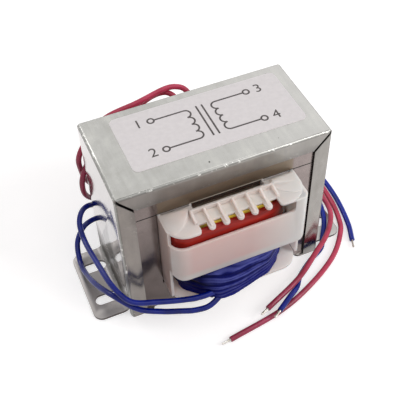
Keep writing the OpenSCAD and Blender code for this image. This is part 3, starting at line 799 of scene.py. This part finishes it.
class TRANSFORMER_OT_stage(bpy.types.Operator):
    """Camera, floor, soft lamps and the pale surroundings"""

    bl_idname = "transformer.stage"
    bl_label = "Stage"

    # Where the camera looks, in millimetres, and where the lamps look, in metres
    target = (-4.38, -4.83, 38.3)
    lit = (0, 0, 0.03)
    # Name, place and width in metres, and watts
    lamps = (
        ("lamp_above", (0.1, -0.35, 1.4), 1.6, 6.8),
        ("lamp_right", (0.85, -0.75, 0.8), 0.6, 8.2),
        ("lamp_behind", (-0.45, 0.95, 0.85), 0.6, 3.0),
    )

    def execute(self, context):
        scene = context.scene
        stage = scene.transformer_stage
        a, e, r = stage.azimuth, stage.elevation, stage.roll
        back = Vector((math.sin(a) * math.cos(e), -math.cos(a) * math.cos(e), math.sin(e)))
        right = Vector((math.cos(a), math.sin(a), 0))
        up = back.cross(right)
        right, up = right * math.cos(r) + up * math.sin(r), up * math.cos(r) - right * math.sin(r)
        target = Vector(self.target) * MM
        bpy.ops.object.camera_add()
        camera = context.object
        camera.name = "camera"
        camera.matrix_world = Matrix.Translation(target + back * stage.distance) @ Matrix(
            (right, up, back)
        ).transposed().to_4x4()
        camera.data.lens = stage.lens
        camera.data.sensor_width = 36
        camera.data.clip_start = 0.01
        scene.camera = camera

        bpy.ops.mesh.primitive_plane_add(size=stage.floor_size, location=(0, 0, 0))
        floor = context.object
        floor.name = "floor"
        floor.data.materials.append(floor_finish())

        for name, place, size, power in self.lamps:
            bpy.ops.object.light_add(type="AREA", location=place)
            lamp = context.object
            lamp.name = name
            lamp.data.shape = "SQUARE"
            lamp.data.size = size
            lamp.data.energy = power
            aim = Vector(self.lit) - Vector(place)
            lamp.rotation_euler = aim.to_track_quat("-Z", "Y").to_euler()

        world = bpy.data.worlds.new("studio")
        scene.world = world
        world.use_nodes = True
        tree = world.node_tree
        tree.nodes.clear()
        ray = add_node(tree, "ShaderNodeLightPath").outputs
        seen = any_of(tree, ray["Is Camera Ray"], ray["Is Glossy Ray"], ray["Is Transmission Ray"])
        ambient = add_node(
            tree, "ShaderNodeBackground", {"Color": (1.0, 0.97, 0.96, 1.0), "Strength": 0.26}
        )
        white = add_node(
            tree, "ShaderNodeBackground", {"Color": (1.0, 1.0, 1.0, 1.0), "Strength": 1.0}
        )
        mix = add_node(
            tree, "ShaderNodeMixShader", {0: seen, 1: ambient.outputs[0], 2: white.outputs[0]}
        )
        add_node(tree, "ShaderNodeOutputWorld", {"Surface": mix.outputs[0]})
        scene.view_settings.view_transform = "Standard"
        return {"FINISHED"}


class TRANSFORMER_OT_leads(bpy.types.Operator):
    """The four PVC leads and their tinned ends"""

    bl_idname = "transformer.leads"
    bl_label = "Leads"

    # The insulation's cut edges: where they begin in the route's last step, and their size
    cut_step = 0.03
    cut_size = 0.93
    # The strands start this far inside the insulation, make this part of a turn, close up by this
    # part of their circle, and end at this part of their width
    tucked = 1 * MM
    twist = 0.55
    closing = 0.1
    strand_tip = 0.7
    strand_steps = 16

    def execute(self, context):
        leads = context.scene.transformer_leads
        finish = context.scene.transformer_finish
        red = soft_pvc("red_pvc", tuple(finish.red_lead) + (1.0,), paint("#AE324C"))
        blue = soft_pvc("blue_pvc", tuple(finish.blue_lead) + (1.0,), paint("#041A78"))
        tin = tinned_strands()
        for name, route in LEAD_ROUTES.items():
            line = smooth_route(route)
            line[:, 2] = np.maximum(line[:, 2], leads.lead_width / 2)
            first = line[0] + (line[1] - line[0]) * self.cut_step
            last = line[-1] + (line[-2] - line[-1]) * self.cut_step
            line = np.vstack([line[0], first, line[1:-1], last, line[-1]])
            sizes = np.ones(len(line))
            sizes[0] = sizes[-1] = self.cut_size
            piece = tube_along("pvc_" + name, line, leads.lead_width / 2, sizes)
            colour = name.split("_")[0]
            cover_with(piece, red if colour == "red" else blue)
            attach(piece, "root")
            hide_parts("lead_" + name)
            ends = self.tinned_end(leads, name, line, tin)
        return {"FINISHED"}

    def tinned_end(self, leads, name, line, tin):
        """Strands twisted round a middle one, as one piece."""
        t = Vector(line[-1] - line[-4]).normalized()
        side = t.cross(Vector((0, 0, 1))).normalized()
        up = side.cross(t)
        start = Vector(line[-1]) - t * self.tucked
        reach = leads.strand_reach + self.tucked
        lay = leads.strands * leads.strand_width / math.pi / 2
        pieces = []
        for k in range(leads.strands + 1):
            points = []
            for i in range(self.strand_steps + 1):
                f = i / self.strand_steps
                a = 2 * math.pi * (k / leads.strands + self.twist * f)
                r = 0 if k == leads.strands else lay * (1 - self.closing * f)
                points.append(start + t * reach * f + (side * math.cos(a) + up * math.sin(a)) * r)
            sizes = [1.0] * self.strand_steps + [self.strand_tip]
            pieces.append(tube_along("strand", points, leads.strand_width / 2, sizes, sides=8))
        ends = join_all(pieces, "strands_" + name)
        cover_with(ends, tin)
        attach(ends, "root")
        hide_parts("tip_" + name)
        return ends


class TRANSFORMER_OT_core(bpy.types.Operator):
    """Finishes of the laminations and of the channel folded round them"""

    bl_idname = "transformer.core"
    bl_label = "Core and channel"

    def execute(self, context):
        steel = silicon_steel()
        refinish("e_laminations", steel)
        refinish("i_laminations", steel)
        channel = worked_copy("channel_frame", "folded_channel")
        soften(channel, 0.12 * MM)
        cover_with(channel, galvanised_steel(context.scene.transformer_finish))
        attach(channel, "root")
        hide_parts("channel_frame")
        return {"FINISHED"}


class TRANSFORMER_OT_covers(bpy.types.Operator):
    """The bobbin and the two moulded comb covers"""

    bl_idname = "transformer.covers"
    bl_label = "Bobbin and covers"

    # The ribs lie within comb_side of the middle, from rib_back to rib_front in Y. Their backs rise
    # and lean forward, and past rib_end they are down to the part rib_tip of their height.
    comb_side = 17.6 * MM
    rib_height = 0.5 * MM
    rib_back = 24.1 * MM
    rib_front = 35 * MM
    rib_end = 34 * MM
    rib_tip = 0.25
    rib_rise = 1.7 * MM
    rib_lean = 1.8 * MM
    lip_y = 26.2 * MM
    lip_up = 0.85 * MM
    lip_size = (34.6 * MM, 0.9 * MM, 2.5 * MM)

    def execute(self, context):
        nylon = moulded_nylon()
        for node, name in (
            ("cover_front", "comb_cover_front"), ("cover_rear", "comb_cover_rear"),
            ("bobbin", "split_bobbin"),
        ):
            piece = worked_copy(node, name)
            if "cover" in node:
                self.raise_ribs(piece, -1 if node == "cover_front" else 1)
            soften(piece, 0.14 * MM)
            cover_with(piece, nylon)
            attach(piece, "root")
            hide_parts(node)
        return {"FINISHED"}

    def raise_ribs(self, piece, way):
        """Ribs that rise to a lip at the back of the comb; way is the side in Y that it faces."""
        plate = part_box("cover_front")[1][2] - self.rib_height
        for point in piece.data.vertices:
            x, y, z = point.co
            if z > plate + HAIR and abs(x) < self.comb_side and abs(y) < self.rib_front:
                back = min((self.rib_front - abs(y)) / (self.rib_front - self.rib_back), 1)
                if abs(y) > self.rib_end:
                    point.co.z = plate + (z - plate) * self.rib_tip
                point.co.z += self.rib_rise * back
                point.co.y += way * self.rib_lean * back ** 4
        only(piece)
        bpy.ops.mesh.primitive_cube_add(size=1, location=(0, way * self.lip_y, plate + self.lip_up))
        lip = bpy.context.object
        lip.scale = self.lip_size
        bpy.ops.object.transform_apply(location=True, rotation=True, scale=True)
        only(piece)
        joined = piece.modifiers.new("lip", "BOOLEAN")
        joined.operation = "UNION"
        joined.object = lip
        joined.solver = "EXACT"
        bpy.ops.object.modifier_apply(modifier="lip")
        bpy.data.objects.remove(lip)


class TRANSFORMER_OT_windings(bpy.types.Operator):
    """Copper windings and the layers of tape round them"""

    bl_idname = "transformer.windings"
    bl_label = "Windings and tapes"

    # The red tape's corner radius, how far its left front corner is filled out, and how far its top
    # edge is lowered in the middle and again at its end
    corner = 18.4 * MM
    corner_pull = 11.5 * MM
    lowered = 0.9 * MM
    slant = 0.6 * MM
    # The blue tape's inner layers, which lie flat; how many lumps a metre its folds wander by,
    # slowly and again in small; and the finer folds that each fold carries
    inner_layers = 0.4 * MM
    slow_lumps = Vector((40, 40, 110))
    small_lumps = Vector((120, 120, 300))
    fine_folds = 2.7
    fine_share = 0.35

    def execute(self, context):
        wire = enamelled_wire()
        refinish("primary_winding", wire)
        refinish("secondary_winding", wire)
        yellow = polyester_tape("yellow_tape", "#FFF27C", "#FAE45C", "#E8CE3A", 0.3)
        red = polyester_tape("red_tape", "#B42C22", "#9C211A", "#7E1611", 0.25)
        refinish("primary_barrier_tape", yellow)
        overwrap = self.slanted_overwrap()
        cover_with(overwrap, red)
        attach(overwrap, "root")
        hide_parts("primary_outer_tape")
        wrap = self.wrapped_swell(context.scene.transformer_wrap)
        cover_with(wrap, folded_tape())
        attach(wrap, "root")
        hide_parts("secondary_outer_tape")
        return {"FINISHED"}

    def slanted_overwrap(self):
        """The primary's outer tape: fuller at its front left corner, its top edge laid aslant."""
        piece = worked_copy("primary_outer_tape", "slanted_overwrap")
        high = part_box("primary_outer_tape")[1]
        centre = Vector((self.corner - high[0], self.corner - high[1]))
        for point in piece.data.vertices:
            if point.co.z > high[2] - HAIR:
                point.co.z -= self.lowered + self.slant * point.co.x / high[0]
            arm = centre - point.co.xy
            if min(arm) > -HAIR and arm.length > self.corner_pull:
                pull = self.corner_pull * (Vector((1, 1)) - arm.normalized())
                point.co.x -= pull.x
                point.co.y -= pull.y
        soften(piece, 0.2 * MM)
        return piece

    def wrapped_swell(self, wrap):
        """The outer tape of the secondary, pulled into folds over the lead joints."""
        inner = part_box("secondary_winding")[1]
        corner = Vector((wrap.corner, wrap.corner))
        piece = worked_copy("secondary_outer_tape", "joint_wrap")

        def outside(point):
            """Distance of a point outside the winding in plan, and the way outwards."""
            q = Vector((abs(point.x) - inner[0], abs(point.y) - inner[1])) + corner
            if q.x > 0 and q.y > 0:
                away, depth = q.normalized(), q.length - wrap.corner
            else:
                away = Vector((1, 0)) if q.x > q.y else Vector((0, 1))
                depth = max(q.x, q.y) - wrap.corner
            away = math.copysign(away.x, point.x), math.copysign(away.y, point.y), 0
            return depth, Vector(away)

        for point in piece.data.vertices:
            depth, away = outside(point.co)
            if depth < HAIR:
                point.co -= away * wrap.backing
        only(piece)
        piece.data.remesh_voxel_size = wrap.grain
        bpy.ops.object.voxel_remesh()
        relax = piece.modifiers.new("relax", "SMOOTH")
        relax.iterations = 3
        bpy.ops.object.modifier_apply(modifier="relax")
        mesh = piece.data
        normals = [point.normal.copy() for point in mesh.vertices]
        folds = []
        for point, normal in zip(mesh.vertices, normals):
            depth, away = outside(point.co)
            place = point.co
            drift = noise(place * self.slow_lumps) + 0.4 * noise(place * self.small_lumps)
            fold = place.z / wrap.fold_pitch
            crest = abs(math.sin(math.pi * (fold + 0.8 * drift))) ** 0.75
            fine = abs(math.sin(math.pi * (fold * self.fine_folds + 1.1 * drift + place.x * 12)))
            height = (1 - self.fine_share) * crest + self.fine_share * fine
            folds.append(height)
            if depth < self.inner_layers:
                share = max(depth + wrap.backing, 0) / (self.inner_layers + wrap.backing)
                point.co += away * (self.inner_layers * share - depth)
            elif abs(normal.z) < 0.9:
                point.co -= normal * min(wrap.fold_depth * (1 - height), depth * 0.9)
        mesh.attributes.new("fold", "FLOAT", "POINT").data.foreach_set("value", folds)
        bpy.ops.object.shade_smooth()
        return piece


class TRANSFORMER_OT_label(bpy.types.Operator):
    """The label on top of the channel, with a plain winding diagram"""

    bl_idname = "transformer.label"
    bl_label = "Label"

    # The diagram's layout on each side of the label, in millimetres from its middle
    bar_x = 1.2
    bar_length = 18
    coil_x = 6.6
    loop_radius = 2.1
    lead_end = 19
    ring_radius = 1.3
    figure_x = 25.5

    def execute(self, context):
        refinish("label", label_film())
        label = context.scene.transformer_label
        low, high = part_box("label")
        top = high[2] + label.ink / 2
        middle = Vector(((low[0] + high[0]) / 2, (low[1] + high[1]) / 2, top))
        bow = self.printed_ring(label, self.loop_radius, 20, half=True)
        ring = self.printed_ring(label, self.ring_radius, 24)
        bar = self.printed_line(label, label.line_width, self.bar_length * MM)
        lead = self.printed_line(label, (self.lead_end - self.coil_x) * MM, label.line_width)
        end = 4 * self.loop_radius
        # Each winding is a row of half rings with two leads, and the core's bars stand between them
        strokes = [(bar, self.bar_x, 0)]
        strokes += [(bow, self.coil_x, (k - 1.5) * 2 * self.loop_radius) for k in range(4)]
        strokes += [(lead, (self.coil_x + self.lead_end) / 2, y) for y in (-end, end)]
        strokes += [(ring, self.lead_end + self.ring_radius, y) for y in (-end, end)]
        pieces = []
        for side in (-1, 1):
            for k, (model, x, y) in enumerate(strokes):
                only(model)
                bpy.ops.object.duplicate()
                stroke = context.object
                stroke.location = middle + Vector((side * x, y, 0)) * MM
                stroke.rotation_euler.z = 0 if side == 1 else math.pi
                # Strokes that meet differ a little in height, so that no two edges fall together
                stroke.scale.z = 1 + 0.12 * (k % 5)
                pieces.append(stroke)
        for number, x, y in (("1", -1, end), ("2", -1, -end), ("3", 1, end), ("4", 1, -end)):
            bpy.ops.object.text_add()
            figure = context.object
            figure.data.body = number
            figure.data.size = label.figure_height
            figure.data.align_x = figure.data.align_y = "CENTER"
            figure.data.extrude = label.ink / 2
            bpy.ops.object.convert(target="MESH")
            figure.location = middle + Vector((x * self.figure_x, y, 0)) * MM
            pieces.append(figure)
        for model in (bow, ring, bar, lead):
            bpy.data.objects.remove(model)
        drawing = join_all(pieces, "winding_diagram")
        cover_with(drawing, printed_ink())
        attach(drawing, "root")
        return {"FINISHED"}

    def printed_line(self, label, length, width):
        """A straight printed line to copy: length along X, width along Y."""
        bpy.ops.mesh.primitive_cube_add(size=1, location=(0, 0, 0))
        line = bpy.context.object
        line.scale = (length, width, label.ink)
        bpy.ops.object.transform_apply(location=True, rotation=True, scale=True)
        return line

    def printed_ring(self, label, radius, sides, half=False):
        """A printed ring to copy, of this radius in millimetres, or the left half of one."""
        bpy.ops.mesh.primitive_circle_add(
            vertices=sides, radius=radius * MM + label.line_width / 2, fill_type="NGON",
            location=(0, 0, -label.ink / 2),
        )
        bpy.ops.object.mode_set(mode="EDIT")
        bpy.ops.mesh.select_all(action="SELECT")
        bpy.ops.mesh.inset(thickness=label.line_width * math.cos(math.pi / sides))
        bpy.ops.mesh.delete(type="FACE")
        bpy.ops.mesh.select_all(action="SELECT")
        if half:
            bpy.ops.mesh.bisect(
                plane_co=(0, 0, 0), plane_no=(1, 0, 0), clear_outer=True, threshold=1e-6
            )
            bpy.ops.mesh.select_all(action="SELECT")
        bpy.ops.mesh.extrude_region_move(TRANSFORM_OT_translate={"value": (0, 0, label.ink)})
        bpy.ops.mesh.select_all(action="SELECT")
        bpy.ops.mesh.normals_make_consistent(inside=False)
        bpy.ops.object.mode_set(mode="OBJECT")
        bpy.ops.object.transform_apply(location=True, rotation=True, scale=True)
        return bpy.context.object


class TRANSFORMER_PT_sidebar(bpy.types.Panel):
    """Lists the steps in the order in which they are run"""

    bl_idname = "TRANSFORMER_PT_sidebar"
    bl_label = "Transformer"
    bl_space_type = "VIEW_3D"
    bl_region_type = "UI"
    bl_category = "Transformer"

    def draw(self, context):
        for step in STEPS:
            self.layout.operator(step.bl_idname)


STEPS = (
    TRANSFORMER_OT_stage, TRANSFORMER_OT_leads, TRANSFORMER_OT_core, TRANSFORMER_OT_covers,
    TRANSFORMER_OT_windings, TRANSFORMER_OT_label,
)
GROUPS = {
    "transformer_finish": TransformerFinish,
    "transformer_leads": TransformerLeads,
    "transformer_wrap": TransformerWrap,
    "transformer_label": TransformerLabel,
    "transformer_stage": TransformerStage,
}


def register():
    for kind in (*GROUPS.values(), *STEPS, TRANSFORMER_PT_sidebar):
        bpy.utils.register_class(kind)
    for name, kind in GROUPS.items():
        setattr(bpy.types.Scene, name, PointerProperty(type=kind))


def unregister():
    for name in GROUPS:
        delattr(bpy.types.Scene, name)
    for kind in (TRANSFORMER_PT_sidebar, *reversed(STEPS), *reversed(tuple(GROUPS.values()))):
        bpy.utils.unregister_class(kind)


def main():
    register()
    bpy.ops.object.select_all(action="DESELECT")
    bpy.ops.transformer.stage()
    bpy.ops.transformer.leads()
    bpy.ops.transformer.core()
    bpy.ops.transformer.covers()
    bpy.ops.transformer.windings()
    bpy.ops.transformer.label()
    bpy.context.view_layer.update()


if __name__ == "__main__":
    main()
